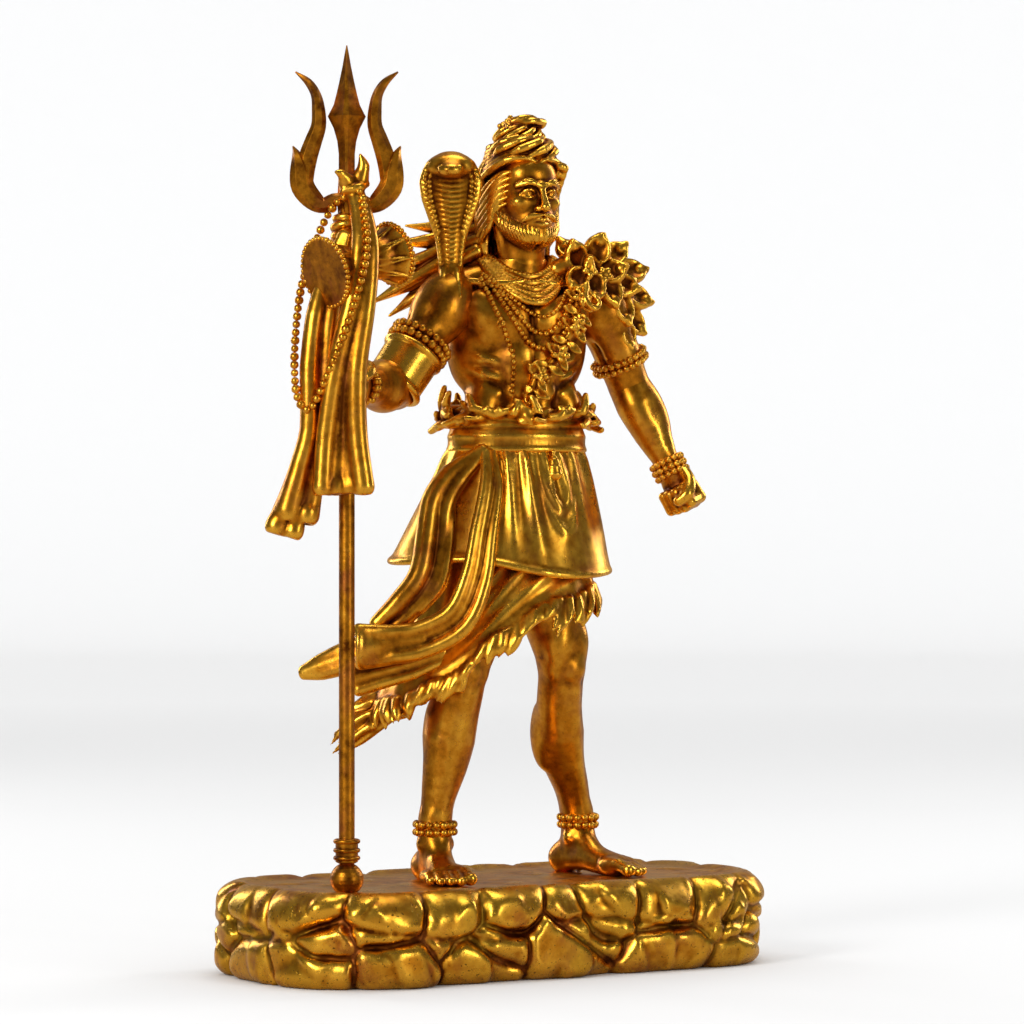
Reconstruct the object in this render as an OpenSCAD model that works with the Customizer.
// Standing trident bearer in cast brass on a rock plinth.
// Frame: millimetres, origin at the centre of the plinth's foot, +Z up, the figure faces -Y.
// The figure's own right hand is on the -X side and holds the trident.

/* [Plinth] */
// Length of the plinth along X
plinth_l = 232; // [226:1:238]
// Depth of the plinth along Y
plinth_w = 116; // [112:1:120]
// Height of the plinth's deck
plinth_h = 36; // [35:0.5:37]
// Wall and deck thickness of the hollow plinth
plinth_wall = 6; // [5:0.5:7]
// Boulders around the plinth in each of its two tiers
boulders = 18; // [12:2:24]

/* [Trident] */
// Diameter of the trident's pole
pole_d = 6.2; // [5.8:0.1:6.4]
// Depth that the pole stands in its socket
socket_depth = 9; // [6:0.5:12]
// Half the spread of the side prongs
prong_reach = 21.5; // [20:0.5:22.5]
// Height of the spear's point above the ground
trident_top = 366.5; // [364:0.5:370]
// Radius of the drum's skins
drum_r = 14; // [12:0.5:14.5]
// Length of the drum along its axis
drum_l = 36; // [32:1:38]

/* [Ornaments] */
// Bead radius of the anklets, armlets and bracelets
bead_r = 1.6; // [1.2:0.1:1.8]
// Thickness of the shell of the skirt and the pelt
cloth_t = 2.6; // [2:0.2:3]

/* [Fixings] */
// Diameter of the threaded studs that join the castings
stud_d = 4; // [3.5:0.1:4.5]
// Clearance all round a stud or the pole in its bore
slack = 0.08; // [0.05:0.01:0.1]
// Clearance all round the pole in the fist
grip_slack = 0.35; // [0.3:0.05:0.5]

/* [Hidden] */

brass = "goldenrod";
dark_brass = "darkgoldenrod";
steel = "silver";
smooth = 48;      // sides of a turned piece
sides = 20;       // sides of a swept limb
thin = 10;        // sides of a swept lock or fold

pole_at = [-85, -26];
body_at = [9, -3];
body_yaw = -13;   // the chest is turned a little towards the trident
skirt_yaw = -33;  // the skirt and the trident's prongs are turned further
turned_side = [cos(skirt_yaw), sin(skirt_yaw), 0];
deck_under = plinth_h - plinth_wall;

right_hip = [-5, -1, 150];
left_hip = [23, -4, 150];
right_ankle = [-25.4, 5, 57];
left_ankle = [47.3, 10, 57];
right_shoulder = [-20, 3, 271];
left_shoulder = [43, -9, 271];
right_elbow = [-48, 1, 233];
left_elbow = [61, -7, 236];
left_wrist = [73, -18, 203];
fist_z = 234;     // height of the gripping fist's middle
waist_z = 213;
neck_at = [10.5, -3, 280];

// ---------- swept shapes ----------

function unit(v) = v / norm(v);
function tangent(path, i) = unit(path[min(i + 1, len(path) - 1)] - path[max(i - 1, 0)]);

// An ellipse of points around c, in the plane of u and v
function oval(c, u, v, a, b, n) =
    [for (k = [0:n - 1]) c + a * cos(360 * k / n) * u + b * sin(360 * k / n) * v];

// Level rings from rows of [x, y, z, half width, half depth]
function level_rings(rows, yaw, n) =
    let (u = [cos(yaw), sin(yaw), 0], v = [-sin(yaw), cos(yaw), 0])
    [for (r = rows) oval([r[0], r[1], r[2]], u, v, r[3], r[4], n)];

// Rings square to a path; sizes are [along side, across side] for each point
function path_rings(path, sizes, side, n) =
    [for (i = [0:len(path) - 1])
        let (t = tangent(path, i), v = unit(cross(t, side)), u = cross(v, t))
        oval(path[i], u, v, sizes[i][0], sizes[i][1], n)];

// Faces between rings, with flat ends, or with the last ring joined to the first
module skin(rings, closed = false) {
    n = len(rings[0]);
    m = len(rings);
    walls = [for (i = [0:m - (closed ? 1 : 2)], k = [0:n - 1])
        let (a = i * n, b = ((i + 1) % m) * n, j = (k + 1) % n)
        each [[a + k, b + k, b + j], [a + k, b + j, a + j]]];
    ends = closed ? [] : [[for (k = [0:n - 1]) k], [for (k = [n - 1:-1:0]) (m - 1) * n + k]];
    polyhedron(points = [for (r = rings) each r], faces = concat(walls, ends), convexity = 6);
}

module limb(rows, yaw = 0, n = sides) skin(level_rings(rows, yaw, n));

module ribbon(path, sizes, side, n = thin) skin(path_rings(path, sizes, side, n));

// A round tube along a straight line, from one radius to another, through a middle radius
module taper(a, b, r1, rm, r2, n = sides) {
    path = [for (t = [0, 0.25, 0.5, 0.75, 1]) a + t * (b - a)];
    sizes = [for (r = [r1, (r1 + rm) / 2, rm, (rm + r2) / 2, r2]) [r, r]];
    ribbon(path, sizes, [0, 1, 0.2], n);
}

// Places children at a, with their Z axis turned to look at b
module along(a, b) {
    d = b - a;
    translate(a)
        rotate([0, acos(d[2] / norm(d)), atan2(d[1], d[0])])
            children();
}

// A plain hoop of round wire about Z
module hoop(r, wire) rotate_extrude($fn = smooth) translate([r, 0]) circle(wire, $fn = 24);

// Two hoops that carry the beads of a band
module bead_band(r, rows = 2) {
    for (i = [0:rows - 1])
        translate([0, 0, (i - (rows - 1) / 2) * 2 * bead_r])
            hoop(r, bead_r);
}

// ---------- plinth ----------

function squared(t) = sign(t) * sqrt(abs(t));
function plinth_edge(a, inset) =
    [(plinth_l / 2 - inset) * squared(cos(a)), (plinth_w / 2 - inset) * squared(sin(a))];

// How far the rock face is set back at an angle and height, two tiers of rounded boulders
function rock_inset(a, z) =
    let (
        tier = z < plinth_h / 2 ? 0 : 1,
        t = 4 * (z - (tier + 0.5) * plinth_h / 2) / plinth_h,
        seam = pow(abs(cos(boulders * a / 2 + tier * 90)), 4)
    )
    4.5 * (1 - sqrt(max(0, 1 - t * t * 0.95))) + 2.2 * seam + tier * 1.5;

module rock_block() {
    levels = [0, 0.08, 0.25, 0.42, 0.499, 0.56, 0.75, 0.92, 1];
    skin([for (f = levels)
        [for (k = [0:89])
            let (a = 4 * k, p = plinth_edge(a, rock_inset(a, f * plinth_h)))
            [p[0], p[1], f * plinth_h]]]);
}

module plinth() {
    color(brass)
    difference() {
        rock_block();
        translate([0, 0, -1])
            linear_extrude(deck_under + 1)
                polygon([for (k = [0:71]) plinth_edge(5 * k, plinth_wall + 8)]);
        for (p = [pole_at, [right_ankle[0], right_ankle[1]], [left_ankle[0], left_ankle[1]]])
            translate([p[0], p[1], deck_under - 1])
                cylinder(d = stud_d + 2 * slack, h = plinth_wall + 2, $fn = smooth);
    }
}

socket_h = 21;
module trident_socket() {
    ball_r = 6.6;
    color(dark_brass)
    translate([pole_at[0], pole_at[1], 0])
    difference() {
        union() {
            translate([0, 0, plinth_h]) rotate_extrude($fn = smooth) polygon(concat(
                [[0, 0], [ball_r * 0.62, 0]],
                [for (a = [-52:13:65]) [ball_r * cos(a), 5.2 + ball_r * sin(a)]],
                [[pole_d / 2 + 1.3, 12], [pole_d / 2 + 1.3, socket_h], [0, socket_h]]));
            for (z = [13.5, 16.5, 20])
                translate([0, 0, plinth_h + z]) hoop(pole_d / 2 + 1.3, 0.9);
            translate([0, 0, deck_under - 6])
                cylinder(d = stud_d, h = plinth_wall + 7, $fn = smooth);
        }
        translate([0, 0, plinth_h + socket_h - socket_depth])
            cylinder(d = pole_d + 2 * slack, h = socket_depth + 5, $fn = smooth);
    }
}

module at_ankles() {
    for (p = [right_ankle, left_ankle])
        translate([p[0], p[1], 0]) children();
}

module foot_studs() {
    color(steel) at_ankles()
        translate([0, 0, deck_under - 6]) cylinder(d = stud_d, h = 32, $fn = smooth);
}

module at_studs() {
    at_ankles() children();
    translate([pole_at[0], pole_at[1], 0]) children();
}

module stud_washers() {
    color(steel) at_studs()
        translate([0, 0, deck_under - 1]) difference() {
            cylinder(d = 9, h = 1, $fn = smooth);
            translate([0, 0, -1]) cylinder(d = stud_d + 2 * slack, h = 3, $fn = smooth);
        }
}

module stud_nuts() {
    color(steel) at_studs()
        translate([0, 0, deck_under - 4.2]) difference() {
            cylinder(d = 8.1, h = 3.2, $fn = 6);
            translate([0, 0, -1]) cylinder(d = stud_d + 2 * slack, h = 6, $fn = smooth);
        }
}

// ---------- legs and hips ----------

module foot(path, side) {
    sizes = [[3, 3.4], [6.4, 6.6], [6.6, 9.2], [7, 6.8], [8, 4.6], [8.2, 3.2], [6.4, 2]];
    ribbon(path, sizes, side, 16);
}

// The bore for a stud that runs up from the sole
module ankle_bore(at) {
    translate([at[0], at[1], 0]) cylinder(d = stud_d + 2 * slack, h = 57, $fn = smooth);
}

module right_leg() {
    color(brass)
    difference() {
        union() {
            limb([[-25.5, 7, 41, 7, 8], [-25.4, 6, 50, 6.3, 7.5], [-25.4, 4.8, 58, 6.4, 6.8],
                [-23.5, 4, 70, 8, 8.5], [-21, 4, 82, 10.5, 11], [-19.6, 3.5, 92, 11.5, 12],
                [-18.5, 1, 104, 11, 11.5], [-17, -3, 118, 10.5, 11], [-16, -3, 126, 11, 11.5],
                [-11, -2, 138, 12.5, 13], [right_hip[0], right_hip[1], right_hip[2], 13.4, 14]]);
            foot([[-24, 15, 40], [-24.8, 10, 42.8], [-26.5, 2, 45.3], [-29, -7, 42.9],
                [-31.5, -15, 40.7], [-34, -22, 39.3], [-35.5, -27.5, 38.3]], [1, -0.3, 0]);
        }
        ankle_bore(right_ankle);
        hip_bore(right_hip);
    }
}

module left_leg() {
    color(brass)
    difference() {
        union() {
            limb([[47, 12, 41, 7, 8], [47.2, 11, 50, 6, 7.2], [47.3, 9.8, 57, 5.9, 6.6],
                [43.5, 8, 70, 7.8, 8.4], [38, 6, 82, 9.8, 10.6], [34, 3, 93, 10.6, 11.6],
                [31, -1, 105, 10, 11], [28.7, -6, 120, 10.3, 11], [27.5, -6, 130, 10.8, 11.5],
                [25.5, -5, 140, 12.3, 13], [left_hip[0], left_hip[1], left_hip[2], 13.4, 14]]);
            foot([[46, 20, 40], [46.6, 15, 42.8], [47.7, 7, 45.3], [49.3, -3, 42.9],
                [51, -13, 40.7], [52.5, -21, 39.3], [53.6, -27, 38.3]], [1, 0.17, 0]);
        }
        ankle_bore(left_ankle);
        hip_bore(left_hip);
    }
}

// Half of a hip stud's bore, each way from the joint
module hip_bore(at) {
    translate([at[0], at[1], at[2] - 9]) cylinder(d = stud_d + 2 * slack, h = 18, $fn = smooth);
}

module hip_studs() {
    color(steel) for (p = [right_hip, left_hip])
        translate([p[0], p[1], p[2] - 8.5]) cylinder(d = stud_d, h = 17, $fn = smooth);
}

module waist_bore() {
    translate([body_at[0], body_at[1], waist_z - 12])
        cylinder(d = stud_d + 2 + 2 * slack, h = 24, $fn = smooth);
}

module waist_stud() {
    color(steel) translate([body_at[0], body_at[1], waist_z - 11.5])
        cylinder(d = stud_d + 2, h = 23, $fn = smooth);
}

module hips() {
    color(brass)
    difference() {
        limb([[9, -2.5, 150, 27.5, 14.5], [9, -2.5, 160, 28, 16.5], [9, -3, 180, 27, 17.5],
            [9, -3, 200, 25, 17], [body_at[0], body_at[1], waist_z, 24, 16.5]], body_yaw, 28);
        hip_bore(right_hip);
        hip_bore(left_hip);
        waist_bore();
    }
}

module right_anklet() {
    color(dark_brass) translate([right_ankle[0], right_ankle[1], right_ankle[2]]) bead_band(8.4);
}

module left_anklet() {
    color(dark_brass) translate([left_ankle[0], left_ankle[1], left_ankle[2]]) bead_band(8);
}

// ---------- skirt, pelt, sash and belt ----------

// A ring of cloth: folds ripple its radius, and the hem rises or falls around it
function cloth_ring(c, yaw, a, b, z, ripple, lobes, n) =
    [for (k = [0:n - 1])
        let (
            t = 360 * k / n,
            f = 1 + ripple * sin(lobes * t + 40),
            x = a * f * cos(t),
            y = b * f * sin(t),
            w = t + yaw
        )
        [c[0] + x * cos(yaw) - y * sin(yaw), c[1] + x * sin(yaw) + y * cos(yaw),
            z[0] + z[1] * cos(w - z[2])]];

// A hanging shell of cloth, open below and above. Rows of [x, y, yaw, half width, half depth, height, ripple]
module cloth_shell(rows, lobes, n = 60) {
    outer = [for (r = rows) cloth_ring([r[0], r[1]], r[2], r[3], r[4], r[5], r[6], lobes, n)];
    inner = [for (i = [len(rows) - 1:-1:0]) let (r = rows[i])
        cloth_ring([r[0], r[1]], r[2], r[3] - cloth_t, r[4] - cloth_t, r[5], r[6], lobes, n)];
    skin(concat(outer, inner), closed = true);
}

module skirt() {
    color(brass) cloth_shell([
        [3.5, 0.3, skirt_yaw, 45, 34, [162.5, 3, 150], 0.035],
        [5, -0.5, -30, 41, 30.5, [172, 2, 150], 0.03],
        [6.5, -1.5, -24, 36, 26.5, [187, 1, 150], 0.025],
        [8, -2.5, -17, 31, 22.6, [201, 0.5, 150], 0.015],
        [9, -3, body_yaw, 27.6, 20, [212, 0, 150], 0.005]], 11);
}

module pelt() {
    color(brass) cloth_shell([
        [-3, 4, skirt_yaw, 46, 33, [119, 23, -48], 0.045],
        [0, 2.5, skirt_yaw, 41.5, 30, [132, 17, -48], 0.04],
        [3, 1, skirt_yaw, 38.4, 27.4, [147, 9, -48], 0.03],
        [6, -1, -30, 35.4, 24.8, [161, 4, -48], 0.02],
        [8, -2, -24, 32, 22.4, [176, 2, -48], 0.01]], 9);
}

module sash_outer() {
    color(brass) ribbon(
        [[-17, -15, 206], [-28, -13, 196], [-37, -14, 184], [-44, -15, 168], [-47, -17, 153],
            [-51, -12, 142], [-55, -4, 136]],
        [[3, 2], [5, 2.6], [6, 3], [6.5, 3], [6.5, 3], [6, 3], [6.5, 3]], [0.7, -0.7, 0.3], 12);
}

module sash_inner() {
    color(brass) ribbon(
        [[-10, -22, 206], [-15, -26, 193], [-20, -29.5, 180], [-25, -33.5, 166], [-31, -35, 151],
            [-41, -29, 138], [-51, -19, 132], [-60, -6, 132]],
        [[3.4, 2], [5, 2.6], [5.5, 3], [6, 3], [6.5, 3.2], [7, 3.4], [7.5, 3.6], [8.5, 4]],
        [0.8, -0.4, 0.45], 12);
}

module sash_back() {
    color(brass) ribbon(
        [[-38, 12, 131], [-48, 20, 128], [-56, 30, 124], [-60, 40, 121]],
        [[8, 2.5], [8, 2.8], [6, 2.5], [2, 1]], [0.3, 0.2, 1], 12);
}

// The girdle stands on the skirt's top edge around the joint between torso and hips
module belt() {
    color(dark_brass)
    translate([body_at[0], body_at[1], waist_z]) rotate(body_yaw)
        for (row = [[27.8, 20.2, -1.4, 1.6], [26.6, 19, 1.6, 1.6], [25.6, 17.9, 4.6, 1.5]])
            skin([for (a = [0:10:350]) let (c = [row[0] * cos(a), row[1] * sin(a), row[2]])
                oval(c, [0, 0, 1], [cos(a), sin(a), 0], row[3], row[3], 10)], closed = true);
}

module belt_bells() {
    color(dark_brass)
    for (a = [-118:44:-30])
        translate([body_at[0], body_at[1], 208]) rotate(body_yaw)
            translate([29 * cos(a), 21.4 * sin(a), 0]) rotate_extrude($fn = smooth)
            polygon([[0, -10], [3.1, -10], [3.1, -8.6], [2.4, -7.4], [2, -4.2], [1, -2.6],
                [0.8, 2.6], [0, 2.6]]);
}

module waist_garland() {
    color(brass)
    translate([body_at[0], body_at[1], waist_z + 10.5]) rotate(body_yaw) {
        skin([for (a = [0:10:350]) let (c = [26 * cos(a), 18 * sin(a), 1.2 * sin(4 * a)])
            oval(c, [0, 0, 1], [cos(a), sin(a), 0], 3.2, 2.4, 10)], closed = true);
        for (a = [-20:36:339])
            along([27 * cos(a), 19 * sin(a), 0], [35.5 * cos(a + 8), 27 * sin(a + 8), 5 * sin(5 * a)])
                cylinder(r1 = 2, r2 = 0.5, h = 8, $fn = 16);
    }
}

// ---------- torso and arms ----------

module shoulder_bores() {
    for (p = [right_shoulder, left_shoulder]) shoulder_rod(p, slack, 9);
}

module shoulder_rod(p, extra, half) {
    inward = unit([body_at[0] - p[0], 0, 0]);
    along(p - half * inward, p + half * inward) cylinder(d = stud_d + 2 * extra, h = 2 * half, $fn = smooth);
}

module shoulder_studs() {
    color(steel) for (p = [right_shoulder, left_shoulder]) shoulder_rod(p, 0, 8.5);
}

module torso_form() {
    limb([[body_at[0], body_at[1], waist_z, 24, 16.5], [9, -3, 224, 23.6, 16], [9.5, -3, 236, 25.5, 17],
        [10, -3.5, 250, 29, 19], [10.5, -4, 260, 30.8, 19.5], [11, -3, 268, 30.5, 18],
        [11, -2, 275, 26, 14.5], [10.6, -2.5, 280, 14, 11],
        [neck_at[0], neck_at[1], 283, 10.4, 10]], body_yaw, 32);
}

module torso() {
    color(brass)
    difference() {
        torso_form();
        waist_bore();
        shoulder_bores();
        translate([neck_at[0], neck_at[1], 270]) cylinder(d = stud_d + 2 * slack, h = 20, $fn = smooth);
    }
}

module neck_stud() {
    color(steel) translate([neck_at[0], neck_at[1], 271]) cylinder(d = stud_d, h = 24, $fn = smooth);
}

// An arm's upper half: the ball of the shoulder and a tapering sleeve down to the elbow's flat
module arm_form(shoulder, elbow, r_top, r_mid, r_low) {
    taper(shoulder + 0.12 * (elbow - shoulder), elbow, r_top, r_mid, r_low);
    translate(shoulder) sphere(r_top + 1, $fn = smooth);
}

module upper_arm(shoulder, elbow, r_top, r_mid, r_low) {
    difference() {
        arm_form(shoulder, elbow, r_top, r_mid, r_low);
        torso_form();
        shoulder_rod(shoulder, slack, 9);
        elbow_rod(shoulder, elbow, slack, 7.5);
    }
}

module elbow_rod(shoulder, elbow, extra, half) {
    t = unit(elbow - shoulder);
    along(elbow - half * t, elbow + half * t)
        cylinder(d = stud_d - 1 + 2 * extra, h = 2 * half, $fn = smooth);
}

module elbow_studs() {
    color(steel) {
        elbow_rod(right_shoulder, right_elbow, 0, 7);
        elbow_rod(left_shoulder, left_elbow, 0, 7);
    }
}

module right_upper_arm() {
    color(brass) upper_arm(right_shoulder, right_elbow, 11.5, 10.5, 10);
}

left_arm_r = [11, 10, 9];  // at the shoulder, the middle and the elbow

module left_upper_arm() {
    color(brass) upper_arm(left_shoulder, left_elbow, left_arm_r[0], left_arm_r[1], left_arm_r[2]);
}

// A point part of the way down an arm
function down_arm(a, b, t) = a + t * (b - a);

module right_arm_cuff() {
    color(dark_brass)
    along(down_arm(right_shoulder, right_elbow, 0.6), right_elbow) difference() {
        cylinder(r = 12.2, h = 17, $fn = smooth);
        translate([0, 0, -1]) cylinder(r = 11.2, h = 19, $fn = smooth);
    }
}

module right_armlet() {
    color(dark_brass)
    along(down_arm(right_shoulder, right_elbow, 0.55), right_elbow) bead_band(12.6, 2);
}

module left_armlet() {
    color(dark_brass)
    along(down_arm(left_shoulder, left_elbow, 0.72), left_elbow) bead_band(11.4, 1);
}

module right_forearm() {
    fist = [pole_at[0], pole_at[1], fist_z];
    reach = unit(fist - right_elbow);
    wrist = fist - 12 * reach;
    color(brass)
    difference() {
        union() {
            taper(right_elbow, wrist, 10.5, 9.5, 6);
            translate(right_elbow) sphere(10.6, $fn = smooth);
            ribbon([wrist - reach, wrist + 4 * reach, fist - 4 * reach, fist + 4 * reach, fist + 7.5 * reach],
                [[6, 5.5], [7, 5.5], [8.4, 7.4], [8.4, 7.6], [7, 5]], [0, 0, 1], 20);
        }
        translate([pole_at[0], pole_at[1], fist_z - 15])
            cylinder(d = pole_d + 2 * grip_slack, h = 30, $fn = smooth);
        elbow_joint_space(right_shoulder, right_elbow, 10.4);
    }
}

// The flat on which an upper arm ends, with the elbow stud's bore beyond it
module elbow_joint_space(shoulder, elbow, r) {
    t = unit(elbow - shoulder);
    along(elbow - 20 * t, elbow) cylinder(r = r + 6, h = 20, $fn = smooth);
    elbow_rod(shoulder, elbow, slack, 7.5);
}

module right_bracelet() {
    fist = [pole_at[0], pole_at[1], fist_z];
    reach = unit(fist - right_elbow);
    color(dark_brass) along(fist - 15 * reach, fist) bead_band(8.6, 2);
}

module left_forearm() {
    t = unit(left_wrist - left_elbow);
    color(brass)
    difference() {
        union() {
            taper(left_elbow, left_wrist, 10, 10.5, 5.6);
            translate(left_elbow) sphere(10, $fn = smooth);
            ribbon([for (step = [-1, 4, 10, 17, 21]) left_wrist + step * t],
                [[5.5, 5], [6.5, 5.2], [8, 6.6], [8.4, 7.4], [6, 5]], [0.8, -0.5, 0.1], 20);
        }
        elbow_joint_space(left_shoulder, left_elbow, 10);
    }
}

module left_bracelet() {
    t = unit(left_wrist - left_elbow);
    color(dark_brass) along(left_wrist - t, left_wrist + t) bead_band(8, 3);
}

// ---------- neck, chest and shoulder ornaments ----------

module serpent_coil() {
    color(dark_brass)
    translate([neck_at[0], neck_at[1], 282]) rotate(body_yaw)
        skin([for (k = [0:47]) let (a = -60 + 15 * k, s = k / 47,
                c = [(13.6 + 5 * s) * cos(a), (13.4 + 4.6 * s) * sin(a), 6 - 9 * s + 4.5 * sin(a)])
            oval(c, [0, 0, 1], [cos(a), sin(a), 0], 2.4 - 1.1 * abs(s - 0.3), 2.6 - 1.2 * abs(s - 0.3), 12)]);
}

module serpent_hood() {
    color(brass) {
        ribbon([[-16, 4, 279], [-17, 2, 287], [-18.6, 1.5, 296], [-20, 1, 304], [-21, 0.5, 312],
                [-21.2, 0, 320], [-21, -0.5, 325.5]],
            [[5, 3.6], [5.4, 3.4], [7, 3.6], [10, 3.6], [12, 3.6], [11.4, 4], [7.5, 3.4]],
            turned_side, 16);
        ribbon([[-20.6, 1.6, 321.6], [-21.6, -2, 324.6], [-23.4, -5.5, 323.5], [-24.6, -8, 320.5]],
            [[5.5, 3.6], [5.6, 3.6], [4.6, 3], [2.6, 1.6]], turned_side, 12);
    }
}

// The chest's half width and half depth at a height
chest_rx = [[224, 23.6], [236, 25.5], [250, 29], [260, 30.8], [268, 30.5], [275, 26], [280, 14], [283, 10.4]];
chest_ry = [[224, 16], [236, 17], [250, 19], [260, 19.5], [268, 18], [275, 14.5], [280, 11], [283, 10]];

// A string of beads that lies on the chest and dips from one height to another
module bead_string(top, low, from, to, r) {
    steps = 16;
    ribbon([for (i = [0:steps])
            let (
                a = from + (to - from) * i / steps,
                z = top - (top - low) * pow(sin(180 * i / steps), 0.8),
                x = (lookup(z, chest_rx) + 0.6 * r) * cos(a),
                y = (lookup(z, chest_ry) + 0.6 * r) * sin(a)
            )
            [body_at[0] + 2 + x * cos(body_yaw) - y * sin(body_yaw),
                body_at[1] - 0.5 + x * sin(body_yaw) + y * cos(body_yaw), z]],
        [for (i = [0:steps]) [r, r]], [0, 0, 1], 8);
}

module bead_necklaces() {
    color(dark_brass) {
        bead_string(278, 268, -165, -15, 1.2);
        bead_string(277, 258, -155, -25, 1.2);
        bead_string(276, 248, -150, -30, 1.2);
        bead_string(275, 232, -145, -50, 1.3);
    }
}

module chest_garland() {
    color(brass) ribbon(
        [[33, -22, 268], [28, -25.5, 258], [22, -26, 248], [15, -25, 238], [9, -23.5, 229]],
        [[4, 2], [5, 2.6], [5, 2.8], [4.6, 2.6], [3.6, 2]], [1, 0.1, 0.6], 12);
}

module shoulder_garland() {
    color(brass) difference() {
        ribbon([[27, -12, 282], [37, -13, 285], [48, -12, 281], [55, -12.5, 270], [56, -12.5, 258]],
            [[7, 4], [10, 5], [11, 5], [10, 5], [7, 4]], [0, 1, 0.1], 16);
        arm_form(left_shoulder, left_elbow, left_arm_r[0], left_arm_r[1], left_arm_r[2]);
        torso_form();
    }
}

// ---------- head and hair ----------

module head_form() {
    limb([[neck_at[0], neck_at[1], 283, 10, 10], [10.5, -4, 291, 9.6, 9.8],
        [10.5, -5.5, 298, 9.5, 10], [10.5, -6, 302, 9.8, 11]]);
    limb([[10.5, -12, 293, 4, 4.5], [10.5, -9.5, 296, 8, 9], [10.5, -7.5, 303, 10.8, 13],
        [10.5, -6, 312, 12.6, 16], [10.5, -5, 320, 12.8, 16.4], [10.5, -4, 328, 10, 13],
        [10.5, -3.5, 332, 5, 7]]);
}

module head() {
    color(brass)
    difference() {
        head_form();
        translate([neck_at[0], neck_at[1], 280]) cylinder(d = stud_d + 2 * slack, h = 15.5, $fn = smooth);
    }
}

// The combed cap of hair sits on the skull behind the brow
module hair_form() {
    limb([[10.5, 11, 296, 14, 5], [10.5, 10, 306, 16.4, 8], [10.5, 7, 315, 17, 11.6],
        [10.5, 3, 323, 16.4, 14.6], [10.5, -2, 330, 14, 15.4], [10.5, -2, 335, 9, 11]]);
}

module hair() {
    color(dark_brass) difference() {
        hair_form();
        head_form();
    }
}

module topknot() {
    color(dark_brass) difference() {
        limb([[10, -1, 333, 8.5, 9], [10.5, -1.5, 337, 8.6, 8.8], [11, -2, 341, 7.6, 8],
            [11.5, -2, 344, 6, 6]]);
        hair_form();
    }
}

// Locks that the wind carries back over the right shoulder
module wind_locks() {
    color(dark_brass) difference() {
        union() {
            ribbon([[4, 12, 304], [-3, 19, 303], [-12, 24, 302], [-23, 27, 300]],
                [[4.5, 3.4], [4, 3], [2.6, 2], [0.8, 0.8]], [0, 0, 1], thin);
            ribbon([[2, 12, 296], [-10, 21, 290], [-26, 26, 279], [-45, 28, 266]],
                [[5, 4], [4.4, 3.2], [3.4, 2.4], [1, 0.8]], [0, 0, 1], thin);
            ribbon([[16, 14, 300], [10, 20, 288], [6, 21, 276], [4, 20, 264]],
                [[9, 4], [9, 4], [7, 3.4], [3, 2]], [1, 0, 0], thin);
        }
        hair_form();
    }
}

// ---------- trident ----------

pole_foot_z = plinth_h + socket_h - socket_depth + 0.3;
crown_z = 305;    // where the prongs spring from the pole

module at_pole(z = 0) translate([pole_at[0], pole_at[1], z]) children();

module trident_pole() {
    color(dark_brass) at_pole() {
        translate([0, 0, pole_foot_z]) cylinder(d = pole_d, h = crown_z + 6 - pole_foot_z, $fn = smooth);
    }
}

// One side prong: out from the pole, up in an S, and back to a flared point
prong_line = [[0, 303.5], [4, 303.5], [9, 304], [15, 307], [19, 313], [19.6, 321], [16, 329.5],
    [12.4, 338], [13.6, 346], [17.5, 352.5], [21.5, 356.5]];
prong_size = [[3, 3.6], [3, 3.6], [3, 3.6], [3.2, 4], [3.2, 4.2], [3, 4], [2.8, 3.4],
    [2.6, 3], [2.2, 2.4], [1.6, 1.6], [0.5, 0.5]];

module trident_prongs() {
    color(brass) at_pole() rotate(skirt_yaw) difference() {
        union() {
            for (side = [-1, 1])
                ribbon([for (p = prong_line) [side * p[0] * prong_reach / 21.5, 0, p[1]]],
                    prong_size, [0, 1, 0], 8);
            translate([0, 0, crown_z - 6]) cylinder(r = 5, h = 10, $fn = smooth);
        }
        translate([0, 0, crown_z - 20]) cylinder(d = pole_d + 2 * slack, h = 40, $fn = smooth);
    }
}

module trident_spear() {
    color(brass) at_pole() rotate(skirt_yaw + 45) {
        translate([0, 0, crown_z + 6]) cylinder(r1 = 3.6, r2 = 3, h = 12, $fn = 4);
        translate([0, 0, crown_z + 18]) cylinder(r1 = 3, r2 = 8, h = 15, $fn = 4);
        translate([0, 0, crown_z + 33]) cylinder(r1 = 8, r2 = 0.5, h = trident_top - crown_z - 33, $fn = 4);
    }
}

module trident_knot() {
    color(brass) at_pole() difference() {
        rotate_extrude($fn = smooth)
            polygon([[0, 286], [5.6, 286], [6, 289], [5.2, 291], [6, 294], [5.2, 296], [6, 298], [0, 298]]);
        translate([0, 0, 280]) cylinder(d = pole_d + 2 * slack, h = 30, $fn = smooth);
    }
}

// A knotted scarf hangs in front of the drum, and its other end to the side
module scarf_front() {
    color(brass) ribbon(
        [[-84.6, -32.6, 308], [-85, -38, 296], [-87.4, -44.2, 282], [-90, -43.4, 266], [-92.4, -41.4, 251],
            [-94.6, -39, 236], [-94.8, -39, 212], [-95, -39.4, 194.5]],
        [[2.8, 1.6], [2.8, 2], [2.8, 2.4], [3.4, 2.4], [4, 2.6], [4.8, 2.8], [7.6, 3.2], [9.4, 4]],
        turned_side, 16);
}

module scarf_side() {
    color(brass) difference() {
        ribbon([[-88.5, -30.5, 292], [-93, -29, 276], [-97.7, -31, 261], [-100, -30.5, 231],
                [-101.5, -29.8, 209], [-105.7, -26.8, 190], [-108.6, -24, 176]],
            [[2, 2], [4, 3], [5.4, 3.2], [5, 3.4], [3.6, 3.6], [6, 5], [7, 7]], turned_side, 14);
        drum_form();
    }
}

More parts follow.
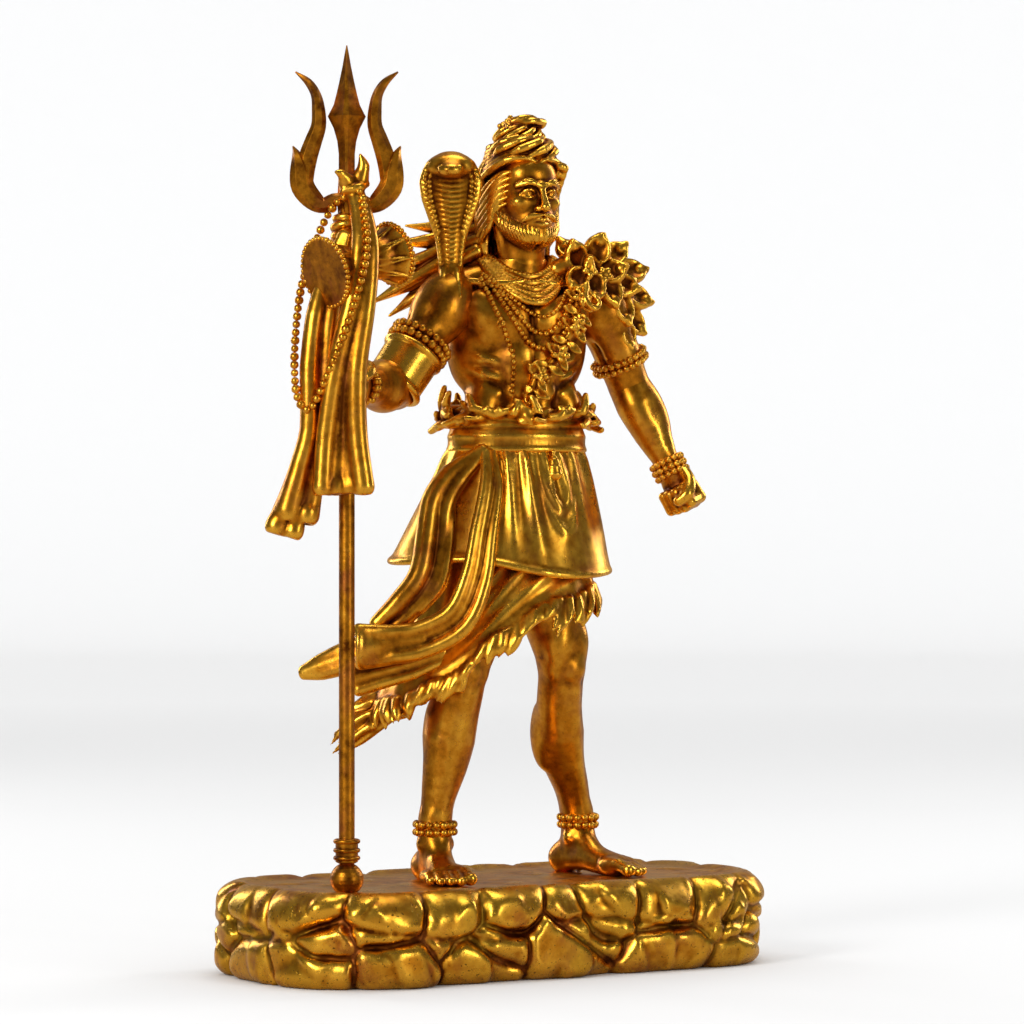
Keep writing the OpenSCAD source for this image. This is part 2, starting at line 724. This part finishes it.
// The hourglass drum is tied across the front of the pole, its right end the higher
drum_waist_r = 4.6;
drum_at = [pole_at[0] + 1, pole_at[1] - pole_d / 2 - drum_waist_r, 281];
drum_way = unit([0.96, 0.13, 0.24]);

module at_drum() along(drum_at, drum_at + drum_way) children();

module drum_form() {
    half = drum_l / 2 - 0.8;
    at_drum()
        rotate_extrude($fn = smooth)
            polygon([[0, -half], [drum_r - 0.8, -half], [drum_waist_r, -2],
                [drum_waist_r, 2], [drum_r - 2, half], [0, half]]);
}

module drum_shell() color(brass) drum_form();

module drum_skins() {
    color(dark_brass) at_drum()
        for (s = [-1, 1]) translate([0, 0, s * (drum_l / 2 - 0.4) - 0.4])
            cylinder(r = drum_r - 1.6 - 0.6 * s, h = 0.8, $fn = smooth);
}

module drum_hoops() {
    color(dark_brass) at_drum()
        for (s = [-1, 1]) translate([0, 0, s * (drum_l / 2 - 1)]) hoop(drum_r - 0.6 - 0.6 * s, 0.9);
}

// A long string of beads hangs over the crown, behind the drum and back up in front of the scarf
module prayer_beads() {
    line = [[-85, -34.6, 309], [-91, -27, 304], [-94, -22, 298], [-96.5, -20.5, 290], [-101, -20, 277],
        [-104, -21.5, 267], [-106.5, -24, 252], [-109, -26, 238], [-109, -29.5, 229], [-106, -33, 224.5],
        [-103.5, -37, 230], [-102.4, -39.6, 237], [-99.5, -42.6, 247], [-96.6, -44.4, 256], [-94, -46, 265],
        [-91.6, -47.4, 276], [-90, -47.4, 286], [-88, -43, 297], [-85.4, -37, 307]];
    color(dark_brass) ribbon(line, [for (p = line) [1.3, 1.3]], [0.3, 0.3, 1], 8);
}

plinth();
trident_socket();
foot_studs();
stud_washers();
stud_nuts();
right_leg();
left_leg();
hips();
hip_studs();
right_anklet();
left_anklet();
pelt();
skirt();
belt();
belt_bells();
waist_garland();
sash_outer();
sash_inner();
sash_back();
torso();
waist_stud();
shoulder_studs();
neck_stud();
right_upper_arm();
right_arm_cuff();
right_armlet();
right_forearm();
right_bracelet();
left_upper_arm();
left_armlet();
left_forearm();
left_bracelet();
elbow_studs();
serpent_coil();
serpent_hood();
bead_necklaces();
chest_garland();
shoulder_garland();
head();
hair();
topknot();
wind_locks();
trident_pole();
trident_prongs();
trident_spear();
trident_knot();
scarf_front();
scarf_side();
drum_shell();
drum_skins();
drum_hoops();
prayer_beads();
